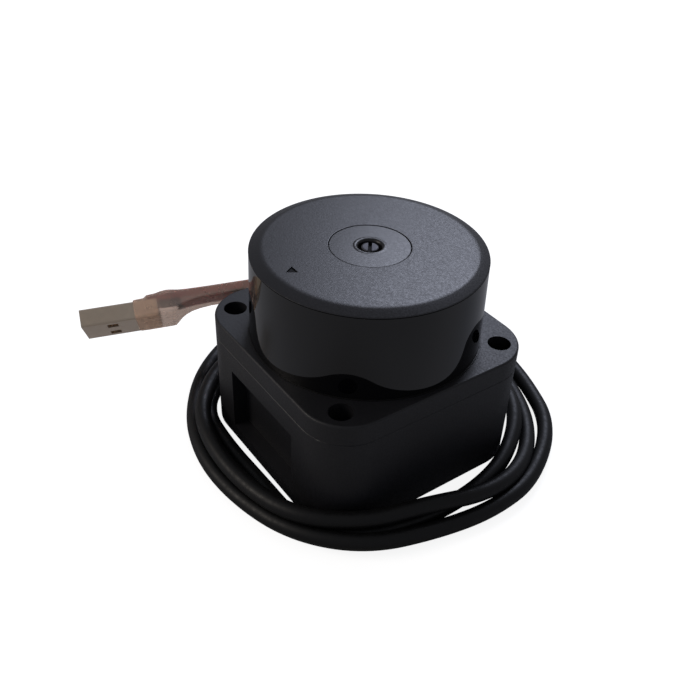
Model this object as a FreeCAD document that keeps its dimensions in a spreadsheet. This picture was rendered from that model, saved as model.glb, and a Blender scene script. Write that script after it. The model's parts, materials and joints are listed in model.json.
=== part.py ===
import FreeCAD, Part
import math
import os
import re

import Sketcher
from FreeCAD import Placement, Rotation, Vector

# A compact turning laser range scanner. A square base of two mouldings carries a
# round dark window hood with a flat cap. A fixed axle stands in the middle of the
# base and holds the cap, and the motor, the optics and their board turn round it
# inside the hood. The lead leaves the back face, lies in three loose turns round the
# base and ends in a bare board with a flat plug in a clear shrink sleeve.
# Frame: +Z up, -Y is the side that the arrow on the cap points to, origin in the
# middle of the base's underside. All sizes are in millimetres and degrees.

SIZES = [
    ("CornerRadius", 10.6, "upright corners of the base"),
    ("HubRise", 8.0, "lower bearing's seat to the top of the cover"),
    ("CoverDepth", 5.0, "top of the cover to the parting line"),
    ("HousingWall", 2.0, "wall of the lower housing"),
    ("EdgeRound", 0.5, "rounded outer edges of the base, top and bottom"),
    ("FitGap", 0.1, "running gap of pieces that drop into the housing"),
    ("WellInset", 6.25, "middle of the mounting wells, in from the sides"),
    ("WellRadius", 2.65, "wide bore that takes the screw head"),
    ("WellFloor", 12.0, "height of the seat under the screw head"),
    ("MountHoleRadius", 1.6, "through hole of the mounting screws"),
    ("ColumnWall", 1.7, "wall of the columns round the wells"),
    ("RecessWidth", 25.5, "side recess, along X"),
    ("RecessBottom", 3.7, "height of the recess floor"),
    ("RecessMargin", 5.1, "side recess to the parting line"),
    ("RecessDepth", 3.5, "side recess, into the wall"),
    ("RecessWall", 1.6, "skin behind and over the recess"),
    ("RecessFloor", 1.2, "skin under the recess"),
    ("PlateThick", 2.5, "bottom plate"),
    ("PlateScrewInset", 2.35, "plate screws, in from the wall"),
    ("PlateScrewY", 9.0, "plate screws, along the wall"),
    ("PlateBossRadius", 2.6, "bosses for the plate screws"),
    ("PlateBossHeight", 5.5, "bosses for the plate screws"),
    ("SmallScrewRadius", 0.85, "shank of the case and board screws"),
    ("SmallHeadRadius", 1.6, "head of the case and board screws"),
    ("SmallHeadHeight", 1.1, "head of the case and board screws"),
    ("ThreadGap", 0.05, "shank to its hole, on the radius"),
    ("CoverPlate", 2.5, "top wall of the cover"),
    ("OpeningInset", 5.7, "opening under the hood, in from the hood's foot"),
    ("SeamBevel", 0.15, "bevel on both sides of the parting line"),
    ("LipDepth", 2.0, "locating lip of the cover, below the seam"),
    ("LipThick", 1.2, "locating lip"),
    ("LipGap", 0.15, "lip to housing wall"),
    ("GrooveDepth", 1.2, "groove in the cover for the hood's foot"),
    ("HoodInset", 1.55, "hood's foot, in from the sides of the base"),
    ("WindowTaper", 0.45, "how far the hood narrows to its top"),
    ("WindowWall", 1.6, "wall of the hood"),
    ("GlueWidth", 0.28, "glue line round the hood's foot"),
    ("GlueRise", 0.2, "how far the glue stands above the cover"),
    ("SeatGap", 0.02, "round pieces that are pressed or glued together"),
    ("CapRoom", 3.6, "lens barrels to the underside of the cap"),
    ("CapProud", 0.01, "edge of the cap outside the hood's top"),
    ("CapChamferWidth", 2.26, "width of the chamfer"),
    ("CapChamferDrop", 0.95, "height of the chamfer"),
    ("CapEdgeLand", 0.2, "upright land under the chamfer"),
    ("CapSkin", 2.2, "thickness of the cap"),
    ("SpigotGap", 0.12, "hood's bore to the cap spigot and to its groove"),
    ("SpigotWall", 1.5, "cap spigot"),
    ("SpigotDepth", 2.3, "cap spigot below the hood's top"),
    ("DiscRadius", 8.8, "round plate let into the cap"),
    ("DiscThick", 1.2, "round plate let into the cap"),
    ("DiscGap", 0.12, "fine groove round the plate"),
    ("DiscHoleRadius", 2.6, "hole over the middle screw"),
    ("ArrowHalfWidth", 1.3, "triangle mark on the cap"),
    ("ArrowBack", 18.75, "triangle mark, near edge from the middle"),
    ("ArrowLength", 2.25, "triangle mark"),
    ("ArrowDepth", 0.25, "triangle mark"),
    ("CapScrewHead", 1.75, "radius of the slotted middle screw's head"),
    ("CapScrewHeight", 1.5, "head of the middle screw"),
    ("CapScrewSink", 0.6, "head below the top of the cap"),
    ("CapScrewShank", 0.95, "radius of the middle screw"),
    ("CapScrewLength", 7.5, "shank of the middle screw"),
    ("SlotWidth", 0.85, "slot of the middle screw"),
    ("SlotDepth", 0.7, "slot of the middle screw"),
    ("SlotTurn", 141.7, "direction of the slot"),
    ("AxleRadius", 2.0, "fixed axle"),
    ("AxleRise", 2.0, "axle's end over the upper bearing"),
    ("CapBossWall", 1.1, "boss under the cap, round the axle"),
    ("FlangeRadius", 9.0, "foot of the axle"),
    ("FlangeThick", 2.5, "foot of the axle"),
    ("FlangeScrewCircle", 6.9, "screws in the foot of the axle"),
    ("ShoulderRadius", 5.4, "post under the stator"),
    ("MotorGap", 1.2, "main board to the windings"),
    ("PostRadius", 4.0, "post inside the stator"),
    ("PostRise", 1.4, "end of the post over the stator"),
    ("StatorRadius", 12.0, "stator over the pole tips"),
    ("StatorYoke", 6.4, "stator's inner ring"),
    ("StatorStack", 6.0, "height of the stator's plates"),
    ("PoleWidth", 1.8, "leg of each pole"),
    ("PoleTipWidth", 6.2, "face of each pole"),
    ("PoleTipDepth", 1.4, "face of each pole"),
    ("CoilWidth", 3.6, "winding on each pole"),
    ("CoilRise", 0.8, "winding above and below the plates"),
    ("BearingWidth", 4.0, "ball bearings"),
    ("BearingOuter", 5.0, "outer radius of the bearings"),
    ("BearingRing", 0.95, "wall of the bearing rings"),
    ("BellRoom", 1.0, "windings to the bell"),
    ("UpperDrop", 8.8, "upper bearing's seat under the cap"),
    ("BallRadius", 0.75, "balls of the bearings"),
    ("BallGap", 0.05, "balls to their grooves and to the cage"),
    ("CageWall", 0.4, "cages of the bearings"),
    ("AirGap", 0.6, "magnets to the pole faces"),
    ("MagnetThick", 1.6, "ring of magnets"),
    ("BellWall", 1.2, "motor bell"),
    ("BellSkirt", 0.4, "bell's edge below the stator"),
    ("HubWall", 1.9, "hub round the bearings"),
    ("HubLip", 1.0, "hub over the upper bearing"),
    ("HubFlangeRadius", 10.0, "hub's flange on the bell"),
    ("HubFlangeThick", 1.5, "hub's flange on the bell"),
    ("DeckGap", 3.6, "turntable to the hood"),
    ("DeckRise", 1.0, "cover to the turntable"),
    ("DeckThick", 2.0, "turntable"),
    ("CodeRingInset", 3.0, "slotted ring, in from the turntable's edge"),
    ("CodeRingWall", 0.9, "slotted ring"),
    ("CodeRingDrop", 4.0, "slotted ring below the turntable"),
    ("CodeSlotWidth", 2.0, "slots of the ring"),
    ("CodeSlotHeight", 2.4, "slots of the ring"),
    ("BoardThick", 1.6, "circuit boards"),
    ("BoardRoom", 6.9, "bottom plate to the main board"),
    ("MainBoardGap", 2.55, "main board to the wall"),
    ("MainBoardHole", 6.4, "hole round the post"),
    ("SpacerRadius", 2.2, "board spacers"),
    ("SpacerX", 17.0, "board spacers, along X"),
    ("SpacerY", 10.0, "board spacers, along Y"),
    ("RingBossLength", 1.3, "bosses under the cover for the ring board"),
    ("RingBoardGap", 2.15, "ring board to the wall"),
    ("RingBoardHole", 8.6, "ring board"),
    ("RingScrewInset", 1.3, "screws of the ring board, in from its edge"),
    ("RingBossRadius", 1.5, "bosses for the ring board"),
    ("RingScrewRadius", 0.6, "screws of the ring board"),
    ("CoilInner", 9.2, "power transfer coils"),
    ("CoilSpan", 3.8, "power transfer coils, width of the winding"),
    ("CoilThick", 1.5, "power transfer coils"),
    ("TurnBoardInset", 0.6, "board on the turntable, in from its edge"),
    ("BarrelX", 13.0, "lens barrels, out from the middle"),
    ("BarrelGap", 0.6, "board to the lens barrels"),
    ("BarrelRadius", 5.0, "lens barrels"),
    ("BarrelBore", 4.2, "seat of the lenses"),
    ("BarrelThroat", 3.4, "bore behind the lenses"),
    ("OpticsGap", 2.1, "front corners of the barrels to the hood"),
    ("BarrelFront", 13.5, "front of the barrels from the middle"),
    ("BarrelBack", 10.0, "back of the barrels from the middle"),
    ("LensSeat", 3.0, "depth of the lens seat"),
    ("LensEdge", 0.8, "edge of the lenses"),
    ("LensBulge", 1.3, "how far the lenses stand out"),
    ("BridgeThick", 1.5, "foot that joins the barrels"),
    ("BridgeHalf", 17.5, "foot that joins the barrels, along X"),
    ("OpticsScrewX", 5.6, "screws of the foot"),
    ("OpticsScrewY", 8.6, "screws of the foot"),
    ("CordRadius", 1.9, "lead"),
    ("CordX", 13.6, "lead, to the left of the middle of the back"),
    ("CordHeight", 6.2, "height of the lead's outlet"),
    ("ReliefRadius", 3.0, "strain relief in the wall"),
    ("ReliefFlange", 3.5, "strain relief inside the wall"),
    ("ReliefFlangeThick", 1.6, "strain relief inside the wall"),
    ("ReliefTail", 4.5, "strain relief outside the wall"),
    ("WireRadius", 0.45, "wires from the lead to its plug"),
    ("WireLength", 4.2, "wires from the lead to its plug"),
    ("HeaderHeight", 3.4, "header under the main board"),
    ("PlugX", -54.6, "mouth of the plug"),
    ("PlugY", -46.9, "mouth of the plug"),
    ("PlugZ", 14.7, "mouth of the plug"),
    ("PlugTurn", -21.5, "direction of the plug, from +Y"),
    ("PlugPitch", 4.16, "rise of the plug to its rear"),
    ("PlugRoll", 129.4, "the plug lies on its edge, contacts down and outwards"),
    ("PlugWidth", 12.0, "metal shell"),
    ("PlugThick", 4.5, "metal shell"),
    ("PlugLength", 18.7, "metal shell"),
    ("PlugExposed", 13.0, "shell outside the sleeve"),
    ("PlugCorner", 0.5, "rounded corners of the shell"),
    ("PlugSheet", 0.3, "sheet of the shell"),
    ("TongueThick", 1.9, "plastic tongue in the shell"),
    ("SleeveWall", 0.5, "shrink sleeve"),
    ("SleeveBodyEnd", 22.3, "end of the sleeve's thick part"),
    ("SleeveTailStart", 28.0, "start of the sleeve's flat tail"),
    ("SleeveEnd", 48.0, "rear end of the sleeve"),
    ("StickWidth", 7.6, "board in the sleeve"),
    ("StickThick", 1.2, "board in the sleeve"),
    ("StickOverlap", 2.2, "board under the rear of the shell"),
    ("TailSkin", 0.4, "sleeve over the board"),
    ("ChipRoom", 0.8, "room for the chips under the sleeve"),
]

# Places that follow from the sizes: heights stack up from the bottom plate to the cap,
# and radii run out from the lens barrels over the hood to the sides of the base.
DERIVED = [
    ("MainBoardHeight", "PlateThick + BoardRoom", "underside of the main board"),
    ("ShoulderHeight", "MainBoardHeight + BoardThick + MotorGap + CoilRise", "stator's seat"),
    ("PostTop", "ShoulderHeight + StatorStack + PostRise", "end of the post"),
    ("BellBottom", "ShoulderHeight - BellSkirt", "lower edge of the motor bell"),
    ("LowerBearing", "ShoulderHeight + StatorStack + CoilRise + BellRoom + BellWall", "lower bearing's seat"),
    ("BaseHeight", "LowerBearing + HubRise", "underside to the top of the cover"),
    ("SeamHeight", "BaseHeight - CoverDepth", "parting line between lower housing and cover"),
    ("RecessHeight", "SeamHeight - RecessMargin - RecessBottom", "side recess, along Z"),
    ("RingBoardHeight", "BaseHeight - CoverPlate - RingBossLength - BoardThick", "underside of the ring board"),
    ("DeckBottom", "BaseHeight + DeckRise", "underside of the turntable"),
    ("BarrelHeight", "DeckBottom + DeckThick + BoardThick + BarrelGap + BarrelRadius", "lens axes"),
    ("TotalHeight", "BarrelHeight + BarrelRadius + CapRoom + CapSkin", "underside to the top of the cap"),
    ("UpperBearing", "TotalHeight - CapSkin - UpperDrop", "upper bearing's seat"),
    ("HubTop", "UpperBearing + BearingWidth + HubLip", "top of the hub"),
    ("AxleTop", "UpperBearing + BearingWidth + AxleRise", "end of the axle"),
    ("WindowFootRadius", "sqrt((BarrelX + BarrelRadius)^2 + BarrelFront^2) + OpticsGap + WindowWall",
     "outside of the hood at its foot"),
    ("WindowTopRadius", "WindowFootRadius - WindowTaper", "outside of the hood at its top"),
    ("CapEdgeRadius", "WindowTopRadius + CapProud", "outside of the cap"),
    ("CapFlatRadius", "CapEdgeRadius - CapChamferWidth", "flat top inside the chamfer"),
    ("BaseWidth", "(WindowFootRadius + HoodInset) * 2", "outer width of the square base"),
    ("WellPitch", "BaseWidth - WellInset * 2", "pitch of the four mounting wells, both ways"),
    ("CoverOpening", "WindowFootRadius - OpeningInset", "opening under the hood"),
    ("DeckRadius", "WindowFootRadius - WindowWall - DeckGap", "turntable"),
    ("TurnBoardRadius", "DeckRadius - TurnBoardInset", "board on the turntable"),
    ("CodeRingRadius", "DeckRadius - CodeRingInset", "slotted ring, outside"),
    ("CoilOuter", "CoilInner + CoilSpan", "power transfer coils"),
    ("MainBoardHalf", "BaseWidth / 2 - HousingWall - MainBoardGap", "main board, half its width"),
    ("PlateScrewX", "BaseWidth / 2 - HousingWall - PlateScrewInset", "plate screws, along X"),
    ("RingBoardRadius", "BaseWidth / 2 - HousingWall - RingBoardGap", "ring board"),
    ("RingScrewCircle", "RingBoardRadius - RingScrewInset", "screws of the ring board"),
]

doc = FreeCAD.newDocument("TurningRangeScanner")
sheet = doc.addObject("Spreadsheet::Sheet", "Sizes")
rows = SIZES + [(name, "=" + formula, note) for name, formula, note in DERIVED]
for row, (name, content, note) in enumerate(rows, start=1):
    sheet.set(f"A{row}", name)
    sheet.set(f"B{row}", str(content))
    sheet.set(f"C{row}", note)
    sheet.setAlias(f"B{row}", name)
doc.recompute()
of = {name: float(sheet.get(name)) for name, content, note in rows}
subParts = []


def link(text):
    return re.sub(r"\b([A-Z][a-z]\w+)", r"Sizes.\1", str(text))


def less(text):
    return f"-({text})"


def bind(thing, target, text):
    if str(text) != "0":
        thing.setExpression(target, link(text))


def keep(thing, label):
    thing.Label = label
    subParts.append(thing)
    return thing


# Part workbench pieces: each size and place is an expression on the sheet.

def place(thing, x, y, z):
    bind(thing, "Placement.Base.x", x)
    bind(thing, "Placement.Base.y", y)
    bind(thing, "Placement.Base.z", z)
    return thing


def rod(radius, height, x="0", y="0", z="0", along="Z"):
    thing = doc.addObject("Part::Cylinder", "Rod")
    bind(thing, "Radius", radius)
    bind(thing, "Height", height)
    if along == "Y":
        thing.Placement = Placement(Vector(), Rotation(Vector(1, 0, 0), -90))
    return place(thing, x, y, z)


def block(sizeX, sizeY, sizeZ, x="0", y="0", z="0"):
    thing = doc.addObject("Part::Box", "Block")
    bind(thing, "Length", sizeX)
    bind(thing, "Width", sizeY)
    bind(thing, "Height", sizeZ)
    return place(thing, f"({x}) - ({sizeX}) / 2", f"({y}) - ({sizeY}) / 2", z)


def joined(pieces):
    if len(pieces) == 1:
        return pieces[0]
    thing = doc.addObject("Part::MultiFuse", "Joined")
    thing.Shapes = pieces
    return thing


def grouped(pieces):
    thing = doc.addObject("Part::Compound", "Set")
    thing.Links = pieces
    return thing


def minus(base, tools):
    thing = doc.addObject("Part::Cut", "Cut")
    thing.Base = base
    thing.Tool = joined(tools)
    return thing


def tube(outer, inner, height, x="0", y="0", z="0", along="Z"):
    return minus(rod(outer, height, x, y, z, along), [rod(inner, height, x, y, z, along)])


def corners(x, y):
    return [(x, y), (less(x), y), (less(x), less(y)), (x, less(y))]


def screw(x, y, seat, head, headHeight, shank, length, up=True):
    # The head stands on its seat, or hangs under it when the screw goes up.
    if up:
        parts = [rod(head, headHeight, x, y, seat), rod(shank, length, x, y, f"({seat}) - ({length})")]
    else:
        parts = [rod(head, headHeight, x, y, f"({seat}) - ({headHeight})"), rod(shank, length, x, y, seat)]
    return joined(parts)


# Part Design bodies: sketches on the body's own planes, every corner dimensioned.

def newBody(label):
    body = doc.addObject("PartDesign::Body", label.title().replace("_", ""))
    return keep(body, label)


def newSketch(body, plane="XY", offset="0"):
    sketch = body.newObject("Sketcher::SketchObject", "Outline")
    role = plane + "_Plane"
    support = [item for item in body.Origin.OriginFeatures if item.Role == role][0]
    sketch.AttachmentSupport = [(support, "")]
    sketch.MapMode = "FlatFace"
    bind(sketch, "AttachmentOffset.Base.z", offset)
    return sketch


def dimension(sketch, kind, ends, text, start=10.0):
    index = sketch.addConstraint(Sketcher.Constraint(kind, *ends, start))
    sketch.setExpression(f"Constraints[{index}]", link(text))


def pin(sketch, curve, spot, x, y):
    for kind, text, axis in (("DistanceX", x, -2), ("DistanceY", y, -1)):
        if text == "0":
            sketch.addConstraint(Sketcher.Constraint("PointOnObject", curve, spot, axis))
        elif text.startswith("-("):
            dimension(sketch, kind, (curve, spot, -1, 1), text[1:])
        else:
            dimension(sketch, kind, (-1, 1, curve, spot), text)


def polygon(sketch, points):
    count = len(points)
    angles = [2 * math.pi * index / count for index in range(count)]
    start = [Vector(20 + 15 * math.cos(a), 20 + 15 * math.sin(a), 0) for a in angles]
    first = sketch.GeometryCount
    for index in range(count):
        sketch.addGeometry(Part.LineSegment(start[index], start[(index + 1) % count]), False)
    for index in range(count):
        following = first + (index + 1) % count
        sketch.addConstraint(Sketcher.Constraint("Coincident", first + index, 2, following, 1))
    for index, (x, y) in enumerate(points):
        pin(sketch, first + index, 1, x, y)


def circle(sketch, radius, x="0", y="0"):
    curve = sketch.GeometryCount
    sketch.addGeometry(Part.Circle(Vector(3, 3, 0), Vector(0, 0, 1), 2.0), False)
    dimension(sketch, "Radius", (curve,), radius)
    pin(sketch, curve, 3, x, y)


def roundedRectangle(sketch, halfX, halfY, radius):
    first = sketch.GeometryCount
    sides = [((-15, -20), (15, -20)), ((20, -15), (20, 15)), ((15, 20), (-15, 20)), ((-20, 15), (-20, -15))]
    for (x1, y1), (x2, y2) in sides:
        sketch.addGeometry(Part.LineSegment(Vector(x1, y1, 0), Vector(x2, y2, 0)), False)
    for index, (x, y) in enumerate([(15, -15), (15, 15), (-15, 15), (-15, -15)]):
        ring = Part.Circle(Vector(x, y, 0), Vector(0, 0, 1), 5.0)
        begin = math.radians(90 * index - 90)
        sketch.addGeometry(Part.ArcOfCircle(ring, begin, begin + math.pi / 2), False)
    for index in range(4):
        arc = first + 4 + index
        sketch.addConstraint(Sketcher.Constraint("Tangent", first + index, 2, arc, 1))
        sketch.addConstraint(Sketcher.Constraint("Tangent", arc, 2, first + (index + 1) % 4, 1))
    for index, way in enumerate(["Horizontal", "Vertical", "Horizontal", "Vertical"]):
        sketch.addConstraint(Sketcher.Constraint(way, first + index))
    for index in range(1, 4):
        sketch.addConstraint(Sketcher.Constraint("Equal", first + 4, first + 4 + index))
    dimension(sketch, "Radius", (first + 4,), radius, 5.0)
    dimension(sketch, "DistanceY", (first, 1, -1, 1), halfY, 20.0)
    dimension(sketch, "DistanceX", (-1, 1, first + 1, 1), halfX, 20.0)
    dimension(sketch, "DistanceY", (-1, 1, first + 2, 1), halfY, 20.0)
    dimension(sketch, "DistanceX", (first + 3, 1, -1, 1), halfX, 20.0)


def feature(body, kind, sketch):
    thing = body.newObject("PartDesign::" + kind, kind)
    thing.Profile = sketch
    body.Tip = thing
    return thing


def pad(body, sketch, length, reverse=False):
    thing = feature(body, "Pad", sketch)
    bind(thing, "Length", length)
    thing.Reversed = reverse
    return thing


def removed(body, before, thing):
    # A cut that points away from the solid removes nothing, so the volume is compared.
    doc.recompute()
    if not thing.Shape.Volume < before - 1e-6:
        raise RuntimeError(f"{body.Label}: {thing.Name} removes nothing")
    return thing


def pocket(body, sketch, length=None, reverse=False):
    doc.recompute()
    before = body.Shape.Volume
    thing = feature(body, "Pocket", sketch)
    if length is None:
        thing.Type = "ThroughAll"
    else:
        bind(thing, "Length", length)
    thing.Reversed = reverse
    return removed(body, before, thing)


def revolved(label, points):
    body = newBody(label)
    sketch = newSketch(body, "XZ")
    polygon(sketch, points)
    thing = feature(body, "Revolution", sketch)
    thing.ReferenceAxis = (sketch, ["V_Axis"])
    thing.Angle = 360
    return body


def edgesAt(thing, height):
    # Names of the edges that run round the outside of the base at this height.
    found = []
    for index, edge in enumerate(thing.Shape.Edges, start=1):
        box = edge.BoundBox
        reach = max(box.XMax, -box.XMin, box.YMax, -box.YMin)
        if box.ZLength < 1e-4 and abs(box.ZMin - height) < 1e-4 and reach > of["BaseWidth"] / 2 - 1e-3:
            found.append(f"Edge{index}")
    return found


def dressed(body, kind, height, size):
    # Rounds or bevels the outer edges of the base at one height.
    doc.recompute()
    last = body.Tip
    thing = body.newObject("PartDesign::" + kind, kind)
    thing.Base = (last, edgesAt(last, height))
    bind(thing, "Radius" if kind == "Fillet" else "Size", size)
    body.Tip = thing
    return thing


half = "BaseWidth / 2"
innerHalf = "BaseWidth / 2 - HousingWall"
wells = corners("WellPitch / 2", "WellPitch / 2")
plateScrews = corners("PlateScrewX", "PlateScrewY")
coverUnder = "BaseHeight - CoverPlate"
grooveFloor = "BaseHeight - GrooveDepth"
windowTop = "TotalHeight - CapChamferDrop - CapEdgeLand"
axleHole = "AxleRadius + SeatGap"

# Lower housing: a wall open above and below, four columns for the mounting screws,
# four small bosses for the bottom plate and the recess in the front wall.
lower = newBody("lower_housing")
outline = newSketch(lower)
roundedRectangle(outline, half, half, "CornerRadius")
roundedRectangle(outline, innerHalf, innerHalf, "CornerRadius - HousingWall")
pad(lower, outline, "SeamHeight")
outline = newSketch(lower, "XY", "PlateThick")
for x, y in wells:
    circle(outline, "WellRadius + ColumnWall", x, y)
pad(lower, outline, "SeamHeight - PlateThick")
outline = newSketch(lower, "XY", "PlateThick")
for x, y in plateScrews:
    circle(outline, "PlateBossRadius", x, y)
pad(lower, outline, "PlateBossHeight")
outline = newSketch(lower, "XY", "RecessBottom - RecessFloor")
skinX = "RecessWidth / 2 + RecessWall"
polygon(outline, [
    (less(skinX), less(f"{half} - HousingWall / 2")),
    (skinX, less(f"{half} - HousingWall / 2")),
    (skinX, less(f"{half} - RecessDepth - RecessWall")),
    (less(skinX), less(f"{half} - RecessDepth - RecessWall")),
])
pad(lower, outline, "RecessHeight + RecessFloor + RecessWall")
outline = newSketch(lower, "XZ", half)
recessX = "RecessWidth / 2"
polygon(outline, [
    (less(recessX), "RecessBottom"),
    (recessX, "RecessBottom"),
    (recessX, "RecessBottom + RecessHeight"),
    (less(recessX), "RecessBottom + RecessHeight"),
])
pocket(lower, outline, "RecessDepth")
outline = newSketch(lower, "XY", "SeamHeight")
for x, y in wells:
    circle(outline, "WellRadius", x, y)
pocket(lower, outline, "SeamHeight - WellFloor")
outline = newSketch(lower, "XY", "WellFloor")
for x, y in wells:
    circle(outline, "MountHoleRadius", x, y)
pocket(lower, outline)
outline = newSketch(lower, "XY", "PlateThick")
for x, y in plateScrews:
    circle(outline, "SmallScrewRadius + ThreadGap", x, y)
pocket(lower, outline, "PlateBossHeight - 1", True)
outline = newSketch(lower, "XZ", less(half))
circle(outline, "ReliefRadius + SeatGap", less("CordX"), "CordHeight")
pocket(lower, outline, "HousingWall + 1", True)
dressed(lower, "Chamfer", of["SeamHeight"], "SeamBevel")
dressed(lower, "Fillet", 0, "EdgeRound")

# Bottom plate: drops into the wall, with sunk screw heads.
plate = newBody("bottom_plate")
outline = newSketch(plate)
plateHalf = f"{innerHalf} - FitGap"
roundedRectangle(outline, plateHalf, plateHalf, "CornerRadius - HousingWall - FitGap")
for x, y in wells:
    circle(outline, "MountHoleRadius", x, y)
for x, y in plateScrews:
    circle(outline, "SmallScrewRadius + ThreadGap", x, y)
pad(plate, outline, "PlateThick")
outline = newSketch(plate)
for x, y in plateScrews:
    circle(outline, "SmallHeadRadius + ThreadGap", x, y)
pocket(plate, outline, "SmallHeadHeight + 0.1", True)

seat = "SmallHeadHeight + 0.1"
length = "PlateThick + PlateBossHeight - SmallHeadHeight - 1.5"
keep(grouped([
    screw(x, y, seat, "SmallHeadRadius", "SmallHeadHeight", "SmallScrewRadius", length, False)
    for x, y in plateScrews
]), "plate_screws")

# Cover: top wall, skirt, locating lip, the upper ends of the wells, and the groove
# that takes the hood's foot.
cover = newBody("upper_cover")
outline = newSketch(cover, "XY", coverUnder)
roundedRectangle(outline, half, half, "CornerRadius")
circle(outline, "CoverOpening")
pad(cover, outline, "CoverPlate")
lipOuter = f"{innerHalf} - LipGap"
lipInner = f"{innerHalf} - LipGap - LipThick"
outline = newSketch(cover, "XY", "SeamHeight")
roundedRectangle(outline, half, half, "CornerRadius")
roundedRectangle(outline, lipInner, lipInner, "CornerRadius - HousingWall - LipGap - LipThick")
pad(cover, outline, f"{coverUnder} - SeamHeight")
outline = newSketch(cover, "XY", "SeamHeight - LipDepth")
roundedRectangle(outline, lipOuter, lipOuter, "CornerRadius - HousingWall - LipGap")
roundedRectangle(outline, lipInner, lipInner, "CornerRadius - HousingWall - LipGap - LipThick")
pad(cover, outline, "LipDepth")
outline = newSketch(cover, "XY", "SeamHeight")
for x, y in wells:
    circle(outline, "WellRadius + ColumnWall + LipGap", x, y)
pocket(cover, outline, "LipDepth")
outline = newSketch(cover, "XY", "SeamHeight")
for x, y in wells:
    circle(outline, "WellRadius + ColumnWall", x, y)
pad(cover, outline, f"{coverUnder} - SeamHeight")
ringBosses = [("RingScrewCircle", "0"), ("0", "RingScrewCircle"),
              (less("RingScrewCircle"), "0"), ("0", less("RingScrewCircle"))]
ringTop = "RingBoardHeight + BoardThick"
outline = newSketch(cover, "XY", ringTop)
for x, y in ringBosses:
    circle(outline, "RingBossRadius", x, y)
pad(cover, outline, f"{coverUnder} - RingBoardHeight - BoardThick")
outline = newSketch(cover, "XY", "BaseHeight")
for x, y in wells:
    circle(outline, "WellRadius", x, y)
pocket(cover, outline)
outline = newSketch(cover, "XY", "BaseHeight")
circle(outline, "WindowFootRadius + GlueWidth")
circle(outline, "WindowFootRadius - WindowWall - SpigotGap")
pocket(cover, outline, "GrooveDepth")
outline = newSketch(cover, "XY", coverUnder)
for x, y in ringBosses:
    circle(outline, "RingScrewRadius + ThreadGap", x, y)
pocket(cover, outline)
dressed(cover, "Chamfer", of["SeamHeight"], "SeamBevel")
dressed(cover, "Fillet", of["BaseHeight"], "EdgeRound")

# Window hood, its glue line, and the cap with the round plate and its screw.
footInner = "WindowFootRadius - WindowWall"
revolved("window_hood", [
    (footInner, grooveFloor),
    ("WindowFootRadius", grooveFloor),
    ("WindowTopRadius", windowTop),
    ("WindowTopRadius - WindowWall", windowTop),
])
keep(tube("WindowFootRadius + GlueWidth", "WindowFootRadius", "GrooveDepth + GlueRise", z=grooveFloor),
     "foot_ring")
spigotOuter = "WindowTopRadius - WindowWall - SpigotGap"
capUnder = "TotalHeight - CapSkin"
bossRadius = "AxleRadius + SeatGap + CapBossWall"
cap = revolved("top_cap", [
    (axleHole, "UpperBearing + BearingWidth"),
    (bossRadius, "UpperBearing + BearingWidth"),
    (bossRadius, capUnder),
    (f"{spigotOuter} - SpigotWall", capUnder),
    (f"{spigotOuter} - SpigotWall", f"{windowTop} - SpigotDepth"),
    (spigotOuter, f"{windowTop} - SpigotDepth"),
    (spigotOuter, windowTop),
    ("CapEdgeRadius", windowTop),
    ("CapEdgeRadius", f"{windowTop} + CapEdgeLand"),
    ("CapFlatRadius", "TotalHeight"),
    ("DiscRadius + DiscGap", "TotalHeight"),
    ("DiscRadius + DiscGap", "TotalHeight - DiscThick"),
    ("DiscHoleRadius", "TotalHeight - DiscThick"),
    ("DiscHoleRadius", "TotalHeight - CapScrewSink - CapScrewHeight"),
    ("CapScrewShank + ThreadGap", "TotalHeight - CapScrewSink - CapScrewHeight"),
    ("CapScrewShank + ThreadGap", "AxleTop"),
    (axleHole, "AxleTop"),
])
outline = newSketch(cap, "XY", "TotalHeight")
polygon(outline, [
    (less("ArrowHalfWidth"), less("ArrowBack")),
    ("0", less("ArrowBack + ArrowLength")),
    ("ArrowHalfWidth", less("ArrowBack")),
])
pocket(cap, outline, "ArrowDepth")
revolved("centre_disc", [
    ("DiscHoleRadius", "TotalHeight - DiscThick"),
    ("DiscRadius", "TotalHeight - DiscThick"),
    ("DiscRadius", "TotalHeight - DiscGap"),
    ("DiscRadius - DiscGap", "TotalHeight"),
    ("DiscHoleRadius", "TotalHeight"),
])
head = "TotalHeight - CapScrewSink - CapScrewHeight"
slot = doc.addObject("Part::Box", "Slot")
bind(slot, "Length", "CapScrewHead * 3")
bind(slot, "Width", "SlotWidth")
bind(slot, "Height", "SlotDepth")
turn = Rotation(Vector(0, 0, 1), of["SlotTurn"])
slotFloor = of["TotalHeight"] - of["CapScrewSink"] - of["SlotDepth"]
corner = turn.multVec(Vector(-1.5 * of["CapScrewHead"], -of["SlotWidth"] / 2, 0))
slot.Placement = Placement(corner + Vector(0, 0, slotFloor), turn)
keep(minus(screw("0", "0", head, "CapScrewHead", "CapScrewHeight", "CapScrewShank", "CapScrewLength"),
           [slot]), "cap_screw")

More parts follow.
